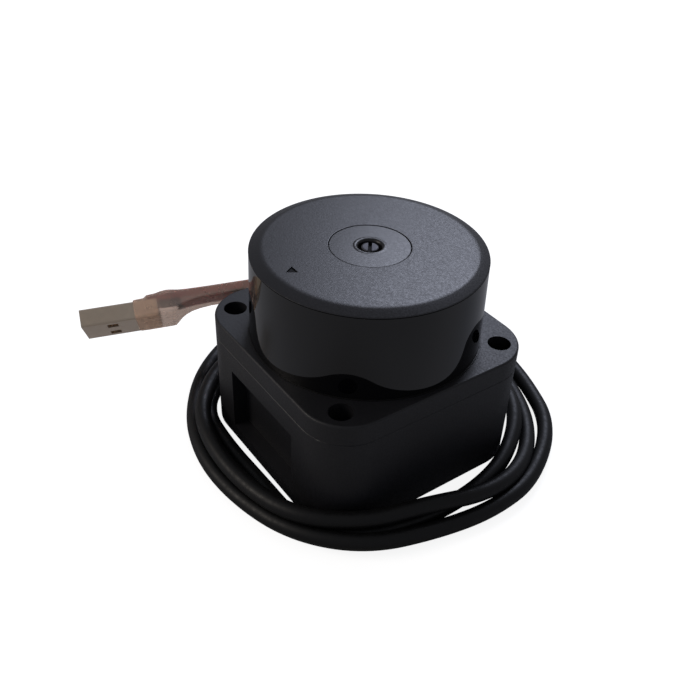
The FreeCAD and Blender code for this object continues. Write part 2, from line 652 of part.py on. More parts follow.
# Axle and its foot: the post carries the stator and the lower bearing's inner ring.
depth = f"CapScrewLength - ({head}) + AxleTop + 0.6"
keep(minus(rod("AxleRadius", "AxleTop - PlateThick", z="PlateThick"),
           [rod("CapScrewShank + ThreadGap", depth, z=f"AxleTop - ({depth})")]), "axle")
foot = revolved("axle_foot", [
    (axleHole, "PlateThick"),
    ("FlangeRadius", "PlateThick"),
    ("FlangeRadius", "PlateThick + FlangeThick"),
    ("ShoulderRadius", "PlateThick + FlangeThick"),
    ("ShoulderRadius", "ShoulderHeight"),
    ("PostRadius", "ShoulderHeight"),
    ("PostRadius", "PostTop"),
    ("AxleRadius + BearingRing", "PostTop"),
    ("AxleRadius + BearingRing", "LowerBearing"),
    (axleHole, "LowerBearing"),
])
flangeTop = "PlateThick + FlangeThick"
flangeSpots = [("FlangeScrewCircle", "0"), ("0", "FlangeScrewCircle"),
               (less("FlangeScrewCircle"), "0"), ("0", less("FlangeScrewCircle"))]
outline = newSketch(foot, "XY", flangeTop)
for x, y in flangeSpots:
    circle(outline, "RingScrewRadius + ThreadGap", x, y)
pocket(foot, outline, "FlangeThick")
outline = newSketch(plate, "XY", "PlateThick")
for x, y in flangeSpots:
    circle(outline, "RingScrewRadius + ThreadGap", x, y)
pocket(plate, outline, "PlateThick - 0.8")
keep(grouped([
    screw(x, y, flangeTop, "RingScrewRadius * 1.9", "RingScrewRadius * 1.4", "RingScrewRadius",
          "FlangeThick + PlateThick - 1")
    for x, y in flangeSpots
]), "flange_screws")

# Stator: plates with nine poles on the post, and a winding on each pole.
poles = 9
legs = []
coils = []
for index in range(poles):
    turn = Placement(Vector(), Rotation(Vector(0, 0, 1), 360 / poles * index))
    leg = doc.addObject("Part::Box", "PoleLeg")
    bind(leg, "Length", "StatorRadius - PoleTipDepth - StatorYoke + 0.8")
    bind(leg, "Width", "PoleWidth")
    bind(leg, "Height", "StatorStack")
    leg.Placement = turn.multiply(Placement(
        Vector(of["StatorYoke"] - 0.4, -of["PoleWidth"] / 2, of["ShoulderHeight"]), Rotation()))
    tip = doc.addObject("Part::Box", "PoleTip")
    bind(tip, "Length", "PoleTipDepth + 1")
    bind(tip, "Width", "PoleTipWidth")
    bind(tip, "Height", "StatorStack")
    tip.Placement = turn.multiply(Placement(
        Vector(of["StatorRadius"] - of["PoleTipDepth"], -of["PoleTipWidth"] / 2, of["ShoulderHeight"]),
        Rotation()))
    legs += [leg, tip]
    outer = doc.addObject("Part::Box", "Coil")
    bind(outer, "Length", "StatorRadius - PoleTipDepth - StatorYoke - 0.9")
    bind(outer, "Width", "CoilWidth")
    bind(outer, "Height", "StatorStack + CoilRise * 2")
    outer.Placement = turn.multiply(Placement(
        Vector(of["StatorYoke"] + 0.6, -of["CoilWidth"] / 2, of["ShoulderHeight"] - of["CoilRise"]),
        Rotation()))
    inner = doc.addObject("Part::Box", "CoilCore")
    bind(inner, "Length", "StatorRadius - PoleTipDepth - StatorYoke - 0.9")
    bind(inner, "Width", "PoleWidth")
    bind(inner, "Height", "StatorStack")
    inner.Placement = turn.multiply(Placement(
        Vector(of["StatorYoke"] + 0.6, -of["PoleWidth"] / 2, of["ShoulderHeight"]), Rotation()))
    coils.append(minus(outer, [inner]))
yoke = tube("StatorYoke", "PostRadius + SeatGap", "StatorStack", z="ShoulderHeight")
rough = joined([yoke] + legs)
rim = doc.addObject("Part::Common", "Rim")
rim.Base = rough
rim.Tool = rod("StatorRadius", "StatorStack", z="ShoulderHeight")
keep(rim, "stator_core")
keep(grouped(coils), "stator_windings")

# Ball bearings: grooved inner rings on the axle, grooved outer rings in the hub, balls
# in a cage that is open round each of them, and a spacer between the inner rings.
BALLS = 8
ballCircle = "(AxleRadius + BearingOuter) / 2"


def torus(height):
    thing = doc.addObject("Part::Torus", "Groove")
    bind(thing, "Radius1", ballCircle)
    bind(thing, "Radius2", "BallRadius + BallGap")
    return place(thing, "0", "0", height)


def ballSet(radius, height):
    balls = []
    for index in range(BALLS):
        angle = 360 / BALLS * index
        ball = doc.addObject("Part::Sphere", "Ball")
        bind(ball, "Radius", radius)
        balls.append(place(ball, f"({ballCircle}) * cos({angle})", f"({ballCircle}) * sin({angle})", height))
    return balls


cages = []
balls = []
for label, height in (("lower", "LowerBearing"), ("upper", "UpperBearing")):
    level = f"{height} + BearingWidth / 2"
    keep(minus(rod("AxleRadius + BearingRing", "BearingWidth", z=height),
               [rod(axleHole, "BearingWidth", z=height), torus(level)]), f"{label}_bearing_inner")
    keep(minus(rod("BearingOuter", "BearingWidth", z=height),
               [rod("BearingOuter - BearingRing", "BearingWidth", z=height), torus(level)]),
         f"{label}_bearing_outer")
    balls += ballSet("BallRadius", level)
    rise = "BallRadius * 1.5"
    cages.append(minus(rod(f"{ballCircle} + CageWall / 2", f"({rise}) * 2", z=f"{level} - {rise}"),
                       [rod(f"{ballCircle} - CageWall / 2", f"({rise}) * 2", z=f"{level} - {rise}")]
                       + ballSet("BallRadius + BallGap", level)))
keep(grouped(balls), "bearing_balls")
keep(grouped(cages), "bearing_cages")
keep(tube("AxleRadius + BearingRing", axleHole, "UpperBearing - LowerBearing - BearingWidth",
          z="LowerBearing + BearingWidth"), "bearing_spacer")

# Motor bell with its ring of magnets, and the hub with the turntable on it.
bellInner = "StatorRadius + AirGap + MagnetThick"
bellOuter = f"{bellInner} + BellWall"
revolved("motor_bell", [
    ("BearingOuter + 0.6", "LowerBearing - BellWall"),
    (bellInner, "LowerBearing - BellWall"),
    (bellInner, "BellBottom"),
    (bellOuter, "BellBottom"),
    (bellOuter, "LowerBearing"),
    ("BearingOuter + 0.6", "LowerBearing"),
])
keep(tube(bellInner, "StatorRadius + AirGap", "StatorStack", z="ShoulderHeight"), "magnet_ring")
hubSeat = "BearingOuter + SeatGap"
hubOuter = "BearingOuter + SeatGap + HubWall"
deckTop = "DeckBottom + DeckThick"
hub = revolved("rotor_hub", [
    (hubSeat, "LowerBearing"),
    ("HubFlangeRadius", "LowerBearing"),
    ("HubFlangeRadius", "LowerBearing + HubFlangeThick"),
    (hubOuter, "LowerBearing + HubFlangeThick"),
    (hubOuter, "DeckBottom"),
    ("DeckRadius", "DeckBottom"),
    ("DeckRadius", deckTop),
    (hubOuter, deckTop),
    (hubOuter, "HubTop"),
    (hubSeat, "HubTop"),
    (hubSeat, "UpperBearing"),
    ("BearingOuter - BearingRing", "UpperBearing"),
    ("BearingOuter - BearingRing", "LowerBearing + BearingWidth"),
    (hubSeat, "LowerBearing + BearingWidth"),
])
opticsScrews = corners("OpticsScrewX", "OpticsScrewY")
outline = newSketch(hub, "XY", deckTop)
for x, y in opticsScrews:
    circle(outline, "SmallScrewRadius + ThreadGap", x, y)
pocket(hub, outline, "DeckThick")

# Slotted ring under the turntable, read by the fork on the ring board.
codeRing = tube("CodeRingRadius", "CodeRingRadius - CodeRingWall", "CodeRingDrop",
                z="DeckBottom - CodeRingDrop")
slots = []
for index in range(10):
    window = doc.addObject("Part::Box", "CodeSlot")
    bind(window, "Length", "CodeRingRadius * 2 + 2")
    bind(window, "Width", "CodeSlotWidth")
    bind(window, "Height", "CodeSlotHeight")
    turn = Rotation(Vector(0, 0, 1), 18 * index + 4)
    low = of["DeckBottom"] - of["CodeRingDrop"]
    middle = turn.multVec(Vector(-of["CodeRingRadius"] - 1, -of["CodeSlotWidth"] / 2, 0))
    window.Placement = Placement(middle + Vector(0, 0, low), turn)
    slots.append(window)
keep(minus(codeRing, slots), "code_ring")
forkRadius = "CodeRingRadius - CodeRingWall / 2"
forkTop = "DeckBottom - 1.2"
keep(minus(block("5.2", "4.4", f"{forkTop} - ({ringTop})", less(forkRadius), "0", ringTop),
           [block("3.2", "5.4", f"{forkTop} - ({ringTop})", less(forkRadius), "0", f"{ringTop} + 0.4")]),
     "code_reader")
keep(tube("CoilOuter", "CoilInner", "CoilThick", z=ringTop), "fixed_power_coil")
keep(tube("CoilOuter", "CoilInner", "CoilThick", z="DeckBottom - CoilThick"), "turning_power_coil")

# Boards. The main board is notched for the four columns.
board = newBody("main_board")
outline = newSketch(board, "XY", "MainBoardHeight")
roundedRectangle(outline, "MainBoardHalf", "MainBoardHalf", "2")
circle(outline, "MainBoardHole")
for x, y in corners("SpacerX", "SpacerY"):
    circle(outline, "SmallScrewRadius + 0.15", x, y)
pad(board, outline, "BoardThick")
outline = newSketch(board, "XY", "MainBoardHeight")
for x, y in wells:
    circle(outline, "WellRadius + ColumnWall + 0.4", x, y)
pocket(board, outline, "BoardThick", True)
outline = newSketch(board, "XY", "MainBoardHeight")
front = f"{half} - RecessDepth - RecessWall - 0.4"
polygon(outline, [
    (less(f"{skinX} + 0.4"), less(half)),
    (f"{skinX} + 0.4", less(half)),
    (f"{skinX} + 0.4", less(front)),
    (less(f"{skinX} + 0.4"), less(front)),
])
pocket(board, outline, "BoardThick", True)
boardTop = "MainBoardHeight + BoardThick"
keep(grouped([
    tube("SpacerRadius", "SmallScrewRadius + ThreadGap", "MainBoardHeight - PlateThick", x, y, "PlateThick")
    for x, y in corners("SpacerX", "SpacerY")
]), "board_spacers")
keep(grouped([
    screw(x, y, boardTop, "SmallHeadRadius", "SmallHeadHeight", "SmallScrewRadius", "BoardThick + 4")
    for x, y in corners("SpacerX", "SpacerY")
]), "board_screws")
keep(grouped([
    block("7", "7", "1", "17.6", "3.2", boardTop),
    block("4", "5", "1", less("18"), "5", boardTop),
    block("3", "3", "0.8", less("18.4"), less("3"), boardTop),
    block("5", "3", "1.4", "0", "20.6", boardTop),
    rod("2", "1.5", "9", "20", boardTop),
]), "board_chips")
keep(block("7", "2.4", f"RingBoardHeight - ({boardTop})", less("9"), "19", boardTop), "board_link")
ringBoard = newBody("ring_board")
outline = newSketch(ringBoard, "XY", "RingBoardHeight")
circle(outline, "RingBoardRadius")
circle(outline, "RingBoardHole")
for x, y in ringBosses:
    circle(outline, "RingScrewRadius + 0.1", x, y)
pad(ringBoard, outline, "BoardThick")
keep(grouped([
    screw(x, y, "RingBoardHeight", "1.1", "0.8", "RingScrewRadius", "BoardThick + 1.2", False)
    for x, y in ringBosses
]), "ring_screws")
turnBoard = newBody("turning_board")
outline = newSketch(turnBoard, "XY", deckTop)
circle(outline, "TurnBoardRadius")
circle(outline, f"{hubOuter} + 0.2")
for x, y in opticsScrews:
    circle(outline, "SmallScrewRadius + 0.1", x, y)
pad(turnBoard, outline, "BoardThick")
turnTop = f"{deckTop} + BoardThick"
keep(grouped([
    block("6", "4", "1", "0", less("BarrelFront + 2.4"), turnTop),
    block("3", "2.4", "1", less("5.4"), less("BarrelFront + 2.4"), turnTop),
    block("3", "3", "0.9", "7", "15.2", turnTop),
]), "turning_chips")
keep(block("6", "3.4", "2.6", less("1"), "15.6", turnTop), "balance_weight")

# Optical bench: a foot on the board, two barrels, and a lens and ring in each.
optics = newBody("optics_bench")
outline = newSketch(optics, "XY", turnTop)
back = "BarrelBack"
polygon(outline, [
    (less("BridgeHalf"), less("BarrelFront - 1")),
    ("BridgeHalf", less("BarrelFront - 1")),
    ("BridgeHalf", back),
    (less("BridgeHalf"), back),
])
circle(outline, f"{hubOuter} + 0.3")
for x, y in opticsScrews:
    circle(outline, "SmallScrewRadius + 0.1", x, y)
pad(optics, outline, "BridgeThick")
barrels = ["BarrelX", less("BarrelX")]
outline = newSketch(optics, "XZ", "BarrelFront")
for x in barrels:
    circle(outline, "BarrelRadius", x, "BarrelHeight")
pad(optics, outline, "BarrelFront + BarrelBack", True)
outline = newSketch(optics, "XY", turnTop)
saddle = "BarrelRadius * 0.8"
for x in barrels:
    sign = x.startswith("-")
    inner, outer = f"BarrelX - {saddle}", f"BarrelX + {saddle}"
    left, right = (less(outer), less(inner)) if sign else (inner, outer)
    polygon(outline, [(left, less("BarrelFront - 1.5")), (right, less("BarrelFront - 1.5")),
                      (right, "BarrelBack - 0.5"), (left, "BarrelBack - 0.5")])
pad(optics, outline, f"BarrelHeight - BarrelRadius * 0.5 - ({turnTop})")
outline = newSketch(optics, "XZ", "BarrelFront")
for x in barrels:
    circle(outline, "BarrelThroat", x, "BarrelHeight")
pocket(optics, outline)
outline = newSketch(optics, "XZ", "BarrelFront")
for x in barrels:
    circle(outline, "BarrelBore", x, "BarrelHeight")
pocket(optics, outline, "LensSeat")
keep(grouped([
    screw(x, y, f"{turnTop} + BridgeThick", "SmallHeadRadius", "SmallHeadHeight", "SmallScrewRadius",
          "BridgeThick + BoardThick + DeckThick - 0.2")
    for x, y in opticsScrews
]), "optics_screws")


def faceForward(thing, side):
    # Built upright at the origin, then laid along its barrel with the top to the front.
    spot = Vector(side * of["BarrelX"], of["LensSeat"] - of["BarrelFront"], of["BarrelHeight"])
    thing.Placement = Placement(spot, Rotation(Vector(1, 0, 0), 90))
    return thing


rings = []
for label, side in (("emitter", -1), ("receiver", 1)):
    rim = rod("BarrelBore - SeatGap", "LensEdge")
    bulge = "BarrelThroat - 0.05"
    bow = f"(({bulge})^2 + LensBulge^2) / (2 * LensBulge)"
    sphere = doc.addObject("Part::Sphere", "Bulge")
    bind(sphere, "Radius", bow)
    bind(sphere, "Placement.Base.z", f"LensEdge + LensBulge - {bow}")
    dome = doc.addObject("Part::Common", "Dome")
    dome.Base = rod(bulge, "LensBulge + 0.1", z="LensEdge")
    dome.Tool = sphere
    keep(faceForward(joined([rim, dome]), side), f"{label}_lens")
    rings.append(faceForward(tube("BarrelBore - SeatGap", "BarrelThroat", "LensSeat - LensEdge",
                                  z="LensEdge"), side))
keep(grouped(rings), "lens_rings")
for label, x in (("laser_board", less("BarrelX")), ("detector_board", "BarrelX")):
    keep(block("BarrelRadius * 2 - 1", "BoardThick", "BarrelRadius * 2 - 1", x,
               "BarrelBack + BoardThick / 2", "BarrelHeight - BarrelRadius + 0.5"), label)
keep(rod("2.8", "3.2", less("BarrelX"), "BarrelBack - 3.2", "BarrelHeight", "Y"), "laser_diode")
keep(block("4", "1.4", "4", "BarrelX", "BarrelBack - 0.7", "BarrelHeight - 2"), "detector_chip")

# Inside end of the lead: strain relief in the back wall, four wires, and their plug
# on a header under the main board.
stem = newBody("relief_stem")
outline = newSketch(stem, "XZ", less(half))
circle(outline, "ReliefRadius", less("CordX"), "CordHeight")
pad(stem, outline, "HousingWall")
outline = newSketch(stem, "XZ", less(innerHalf))
circle(outline, "ReliefFlange", less("CordX"), "CordHeight")
pad(stem, outline, "ReliefFlangeThick")
subParts.remove(stem)
tail = doc.addObject("Part::Cone", "Tail")
bind(tail, "Radius1", "ReliefRadius + 0.3")
bind(tail, "Radius2", "CordRadius + 0.3")
bind(tail, "Height", "ReliefTail")
tail.Placement = Placement(Vector(), Rotation(Vector(1, 0, 0), -90))
place(tail, less("CordX"), half, "CordHeight")
keep(joined([stem, tail]), "strain_relief")
wireStart = f"{innerHalf} - ReliefFlangeThick"
keep(grouped([
    rod("WireRadius", "WireLength", less(f"CordX + {offset}"), f"{wireStart} - WireLength",
        "MainBoardHeight - HeaderHeight + 0.8", "Y")
    for offset in ("1.8", "0.6", "(-0.6)", "(-1.8)")
]), "lead_wires")
plugFace = f"{wireStart} - WireLength"
headerLow = "MainBoardHeight - HeaderHeight"
keep(block("6.4", "3.6", "HeaderHeight - 0.4", less("CordX"), f"{plugFace} - 1.8", headerLow), "lead_connector")
keep(block("6.8", "2.6", "HeaderHeight", less("CordX"), f"{plugFace} - 4.9", headerLow), "lead_header")


# Flat plug and its bare board in the clear sleeve, built along +Y from the mouth: the
# shell sits on the board's front end. Then they are turned to lie on edge over the coil.
def laid(thing, label):
    if thing.ExpressionEngine:
        thing = grouped([thing])
    turn = (Rotation(Vector(0, 0, 1), of["PlugTurn"])
            .multiply(Rotation(Vector(1, 0, 0), of["PlugPitch"]))
            .multiply(Rotation(Vector(0, 1, 0), of["PlugRoll"])))
    mouth = Vector(of["PlugX"], of["PlugY"], of["PlugZ"])
    core = Vector(0, 0, of["SleeveWall"] + of["PlugThick"] / 2)
    thing.Placement = Placement(mouth - turn.multVec(core), turn)
    return keep(thing, label)


def slab(sizeX, sizeY, sizeZ, x, y, z):
    # From y onwards, centred on x.
    return block(sizeX, sizeY, sizeZ, x, f"{y} + ({sizeY}) / 2", z)


middle = "SleeveWall + PlugThick / 2"
shell = newBody("shell_sheet")
subParts.remove(shell)
outline = newSketch(shell, "XZ")
roundedRectangle(outline, "PlugWidth / 2", "PlugThick / 2", "PlugCorner")
roundedRectangle(outline, "PlugWidth / 2 - PlugSheet", "PlugThick / 2 - PlugSheet", "PlugCorner - PlugSheet")
pad(shell, outline, "PlugLength", True)
bind(shell, "Placement.Base.z", middle)
laid(minus(shell, [
    slab("2.4", "2.6", "PlugThick * 3", "2.9", "5.9", "0"),
    slab("2.4", "2.6", "PlugThick * 3", less("2.9"), "5.9", "0"),
]), "plug_shell")
tongueLow = "SleeveWall + PlugSheet"
laid(slab("PlugWidth - PlugCorner * 2", "PlugLength - 1.4", "TongueThick", "0", "1.4", tongueLow),
     "plug_tongue")
laid(grouped([slab("1.2", "PlugLength - 3.4", "0.2", x, "2.2", f"{tongueLow} + TongueThick")
              for x in ("3.5", "1", less("1"), less("3.5"))]), "plug_contacts")
boardStart = "PlugLength - StickOverlap"
boardLow = "SleeveWall - StickThick"
laid(slab("StickWidth", "SleeveEnd - 3.5 - PlugLength + StickOverlap", "StickThick", "0", boardStart, boardLow),
     "stick_board")
laid(grouped([slab("5", "5", "ChipRoom - 0.1", "-0.6", "PlugLength + 0.6", "SleeveWall"),
              slab("2", "3.2", "ChipRoom - 0.1", "-2", "PlugLength + 18.9", "SleeveWall")]), "stick_chips")

# Sleeve: a box over the shell's rear, thinned to a flat tail along the board.
sleeve = newBody("sleeve_outside")
subParts.remove(sleeve)
thick = "PlugThick + SleeveWall * 2"
tailHigh = "SleeveWall + ChipRoom + TailSkin"
outline = newSketch(sleeve, "YZ")
polygon(outline, [
    ("PlugExposed", "0"),
    (f"{boardStart} - TailSkin", "0"),
    (boardStart, less("StickThick + TailSkin - SleeveWall")),
    ("SleeveEnd", less("StickThick + TailSkin - SleeveWall")),
    ("SleeveEnd", tailHigh),
    ("SleeveTailStart", tailHigh),
    ("SleeveBodyEnd", thick),
    ("PlugExposed", thick),
])
pad(sleeve, outline, "PlugWidth + SleeveWall * 2").Midplane = True
wide = "PlugWidth / 2 + SleeveWall"
tailHalf = "StickWidth / 2 + SleeveWall + 0.2"
for sign in (1, -1):
    outline = newSketch(sleeve, "XY")
    side = [(wide, "SleeveBodyEnd"), (f"{wide} + 1", "SleeveBodyEnd"), (f"{wide} + 1", "SleeveEnd + 1"),
            (tailHalf, "SleeveEnd + 1"), (tailHalf, "SleeveTailStart")]
    polygon(outline, [(x if sign > 0 else less(x), y) for x, y in side])
    pocket(sleeve, outline, None, True)
laid(minus(sleeve, [
    slab("PlugWidth", "PlugLength - PlugExposed + 1", "PlugThick", "0", "PlugExposed - 1", "SleeveWall"),
    slab("StickWidth", "SleeveEnd - 3.5 - PlugLength + StickOverlap", "StickThick + ChipRoom", "0", boardStart,
         boardLow),
]), "shrink_sleeve")

# Lead: straight runs joined by tangent arcs. From the back it turns left in the air
# over two later turns, then lies in a loose spiral that works outwards: the second
# turn rides on the groove between the first and the third along the front.
POINTS = [
    (-13.6, 32.25, 6.2), (-13.6, 40, 6.2), (-18.2, 47.4, 6.2), (-26.4, 50.8, 6.2), (-34.6, 48.2, 6.2),
    (-39.2, 40.6, 6.2), (-39.4, 31, 6.2), (-37.4, 20.6, 6.2), (-36.2, 9, 3.4), (-36.6, -6, 1.95),
    (-34, -23.8, 1.95), (-24.2, -33.8, 1.95), (-8.6, -35, 1.95), (7.6, -34.4, 1.95),
    (23.9, -34, 1.95), (33.9, -24, 1.95), (34.9, -8.2, 1.95), (34.3, 8, 1.95), (34.2, 23.4, 1.95),
    (25, 33.8, 1.95), (10, 38.2, 1.95), (-6, 40.3, 1.95), (-21.5, 40.6, 1.95), (-34.2, 33, 1.95),
    (-41.4, 20, 1.95), (-42.4, 4, 1.95), (-41.6, -9.8, 2.4), (-35.9, -24.7, 5.65),
    (-24.9, -35.8, 5.65), (-8.8, -37.2, 5.65), (7.6, -36.6, 5.65), (24.8, -36, 5.65),
    (36, -25, 5.65), (37.8, -8.6, 5.65), (39, 7.6, 1.95), (38.2, 24.2, 1.95), (28, 37.9, 1.95),
    (11.2, 42.5, 1.95), (-6, 44.6, 1.95), (-22.6, 44.8, 1.95), (-37.6, 37, 1.95),
    (-45.6, 22.6, 1.95), (-46.8, 5.4, 1.95), (-46.6, -10.4, 1.95), (-39.4, -26.2, 1.95),
    (-26.4, -38.4, 1.95), (-9.2, -39.5, 1.95), (7.8, -38.9, 1.95), (26, -38.3, 1.95),
    (38.4, -26.6, 1.95), (41.6, -9.4, 1.95), (43.4, 7.4, 1.95), (42.3, 25.6, 1.95), (30.9, 41.5, 1.95),
    (12.6, 46.8, 1.95), (0, 48, 5), (-12.6, 47, 10.6), (-24, 42.5, 14.6), (-31.4, 33, 17.4),
    (-33.6, 22.4, 19.6), (-33.4, 13.4, 20.6), (-35.82, 5.93, 20.33), (-38.85, -1.77, 19.73),
]


def route(points):
    spots = [Vector(*point) for point in points]
    edges = []
    radii = []
    here = spots[0]
    for before, at, after in zip(spots, spots[1:], spots[2:]):
        inward = (before - at).normalize()
        outward = (after - at).normalize()
        reach = 0.45 * min((before - at).Length, (after - at).Length)
        turn = math.pi - inward.getAngle(outward)
        radius = reach / math.tan(turn / 2)
        begin = at + inward * reach
        end = at + outward * reach
        inside = (inward + outward).normalize()
        centre = at + inside * math.hypot(radius, reach)
        middle = centre - inside * radius
        edges.append(Part.LineSegment(here, begin).toShape())
        edges.append(Part.Arc(begin, middle, end).toShape())
        radii.append(round(radius, 1))
        here = end
    edges.append(Part.LineSegment(here, spots[-1]).toShape())
    return Part.Wire(edges), radii


path, radii = route(POINTS)
print("lead: bend radii", radii)
start = Vector(*POINTS[0])
section = Part.Wire([Part.makeCircle(of["CordRadius"], start, Vector(*POINTS[1]) - start)])
lead = doc.addObject("Part::Feature", "SignalLead")
lead.Shape = path.makePipeShell([section], True, False)
expected = math.pi * of["CordRadius"] ** 2 * path.Length
print(f"lead: length {path.Length:.1f}, volume {lead.Shape.Volume:.1f} against {expected:.1f}")
keep(lead, "signal_lead")

doc.recompute()
for thing in doc.Objects:
    if "Invalid" in thing.State or "Error" in thing.State:
        raise RuntimeError(f"{thing.Name} ({thing.Label}) failed: {thing.State}")
for thing in subParts:
    if thing.Shape.isNull() or not thing.Shape.isValid() or thing.Shape.Volume <= 0:
        raise RuntimeError(f"{thing.Label} has no sound shape")
if abs(lead.Shape.Volume / expected - 1) > 0.01:
    raise RuntimeError("the lead's tube doesn't match its path")

os.makedirs("parts", exist_ok=True)
for thing in subParts:
    thing.Shape.exportStep(f"parts/{thing.Label}.step")
print(len(subParts), "sub-parts")
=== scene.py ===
import bpy
import json
import math
from mathutils import Matrix, Vector


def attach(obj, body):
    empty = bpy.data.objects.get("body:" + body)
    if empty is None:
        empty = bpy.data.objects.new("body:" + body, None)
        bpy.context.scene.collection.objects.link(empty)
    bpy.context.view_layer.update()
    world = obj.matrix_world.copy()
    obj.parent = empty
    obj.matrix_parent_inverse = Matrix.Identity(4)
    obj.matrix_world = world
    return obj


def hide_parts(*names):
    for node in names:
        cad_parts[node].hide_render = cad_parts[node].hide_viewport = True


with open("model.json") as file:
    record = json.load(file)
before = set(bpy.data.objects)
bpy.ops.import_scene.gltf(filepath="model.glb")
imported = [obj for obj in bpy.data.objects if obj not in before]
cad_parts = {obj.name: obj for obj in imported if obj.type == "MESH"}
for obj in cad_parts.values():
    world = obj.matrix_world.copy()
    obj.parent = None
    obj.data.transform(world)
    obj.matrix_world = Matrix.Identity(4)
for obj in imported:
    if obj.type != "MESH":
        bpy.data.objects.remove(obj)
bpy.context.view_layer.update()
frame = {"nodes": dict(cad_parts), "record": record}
nodes = frame["nodes"]
mm = 0.001
print("frame loaded:", len(nodes), "nodes")


def nothingSelected():
    for item in bpy.context.selected_objects:
        item.select_set(False)
    bpy.context.view_layer.objects.active = None


nothingSelected()     # the nodes come in selected


# camera, set up for a 700 by 700 picture
cameraSetup = {
    "place": (124.385, -96.326, 142.220),   # mm
    "azimuth": 51.68,    # degrees round +Z from the -Y side
    "elevation": 36.72,
    "roll": 3.71,
    "lens": 43.69,
    "sensor": 36,
    "shift": (-0.0300, -0.0088),
    "nearest": 0.01,     # m
    "farthest": 20,
}


def setCamera(setup):
    a = math.radians(setup["azimuth"])
    e = math.radians(setup["elevation"])
    r = math.radians(setup["roll"])
    back = Vector((math.sin(a) * math.cos(e), -math.cos(a) * math.cos(e), math.sin(e)))
    level = Vector((math.cos(a), math.sin(a), 0))
    above = back.cross(level)
    right = level * math.cos(r) + above * math.sin(r)
    up = above * math.cos(r) - level * math.sin(r)
    data = bpy.data.cameras.new("photoCamera")
    data.sensor_width = setup["sensor"]
    data.lens = setup["lens"]
    data.shift_x, data.shift_y = setup["shift"]
    data.clip_start = setup["nearest"]
    data.clip_end = setup["farthest"]
    camera = bpy.data.objects.new("photoCamera", data)
    bpy.context.scene.collection.objects.link(camera)
    turn = Matrix((right, up, back)).transposed().to_4x4()
    camera.matrix_world = Matrix.Translation(Vector(setup["place"]) * mm) @ turn
    bpy.context.scene.camera = camera


setCamera(cameraSetup)
print("camera set")


# lead: the route's own points in mm, moved to where the picture shows the strands
leadSetup = {
    "radius": 1.9,
    "exit": (-13.6, 32.25, 6.2),
    "length": 0.858,       # m
    "sectionSteps": 7,     # extra steps in a quarter of the tube's section
    "runSteps": 10,        # steps from one route point to the next
    "route": [
        (-13.6, 32.25, 6.2), (-13.6, 40, 6.2), (-18.2, 47.4, 6.2), (-26.4, 50, 6.2),
        (-34.6, 48.2, 6.2), (-39.2, 40.6, 6.2), (-39.4, 31, 6.2), (-37.4, 20.6, 6.2),
        (-35.5, 9.4, 3.4), (-35, -4.8, 1.95), (-31.9, -21.5, 1.95), (-22.8, -30.7, 1.95),
        (-8.8, -32, 1.95), (5.7, -31.5, 1.95), (20.9, -31.2, 1.95), (31.1, -21.4, 1.95),
        (34.5, -6.8, 1.95), (34, 8.3, 1.95), (30.9, 20.2, 2.9), (22.6, 31.6, 5.2), (9.3, 38, 4.4),
        (-6.9, 40.8, 1.95), (-21.8, 40.8, 1.99), (-34.2, 33.1, 2.13), (-41.1, 20.4, 2.39),
        (-41.3, 5.1, 2.74), (-39.3, -7.6, 3.42), (-32.2, -21.3, 6.25), (-21.5, -32.5, 5.57),
        (-8, -36.6, 5.61), (7.3, -36.5, 5.64), (22, -32.5, 6.51), (31.1, -20.7, 6.15),
        (34.6, -8.2, 6.92), (38.6, 7.3, 5.32), (35.4, 21.6, 3.32), (24.9, 33.9, 1.95),
        (10.4, 41.1, 1.95), (-6, 44.5, 1.95), (-22.5, 44.8, 1.95), (-37.8, 37.2, 1.95),
        (-46.3, 23.2, 1.95), (-47.8, 6.8, 1.95), (-47, -8.1, 1.95), (-37.5, -23.6, 1.95),
        (-23.1, -34.1, 1.95), (-8.3, -38.5, 1.95), (6.8, -38, 1.95), (22.9, -33.7, 3.25),
        (34.3, -22.7, 3.21), (38.6, -6.3, 1.95), (40.7, 7.7, 1.95), (38.8, 21.8, 1.95),
        (27.7, 38.3, 1.95), (12.8, 44.8, 1.95), (0.6, 47.4, 2.4), (-12.6, 47, 10.6),
        (-24, 42.5, 14.6), (-31.4, 33, 17.4), (-33.6, 22.4, 19.6), (-33.4, 13.4, 20.6),
        (-35.8, 5.9, 20.33), (-38.9, -1.8, 19.73),
    ],
}


def makeLead(setup):
    curve = bpy.data.curves.new("signalLead", "CURVE")
    curve.dimensions = "3D"
    curve.bevel_depth = 1     # times each point's radius, which the bounding box counts too
    curve.bevel_resolution = setup["sectionSteps"]
    curve.resolution_u = setup["runSteps"]
    curve.use_fill_caps = True
    line = curve.splines.new("NURBS")
    line.points.add(len(setup["route"]) - 1)
    for point, spot in zip(line.points, setup["route"]):
        point.co = (*(Vector(spot) * mm), 1)
        point.radius = setup["radius"] * mm
    line.order_u = 3
    line.use_endpoint_u = True
    line.use_smooth = True
    lead = bpy.data.objects.new("signalLead", curve)
    bpy.context.scene.collection.objects.link(lead)
    return lead


lead = makeLead(leadSetup)
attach(lead, "base")
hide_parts("signal_lead")
print("lead laid")


# pieces modelled here, all in mm
def applyModifiers(piece):
    nothingSelected()
    piece.select_set(True)
    bpy.context.view_layer.objects.active = piece
    for modifier in list(piece.modifiers):
        bpy.ops.object.modifier_apply(modifier=modifier.name)


def smoothFaces(piece, angle=30):
    # rounded parts shade smooth, flat faces stay flat up to their edges
    nothingSelected()
    piece.select_set(True)
    bpy.context.view_layer.objects.active = piece
    bpy.ops.object.shade_smooth_by_angle(angle=math.radians(angle))
    flat = piece.modifiers.new("flatFaces", "WEIGHTED_NORMAL")
    flat.weight = 100     # the largest face has the say
    flat.keep_sharp = True
    applyModifiers(piece)


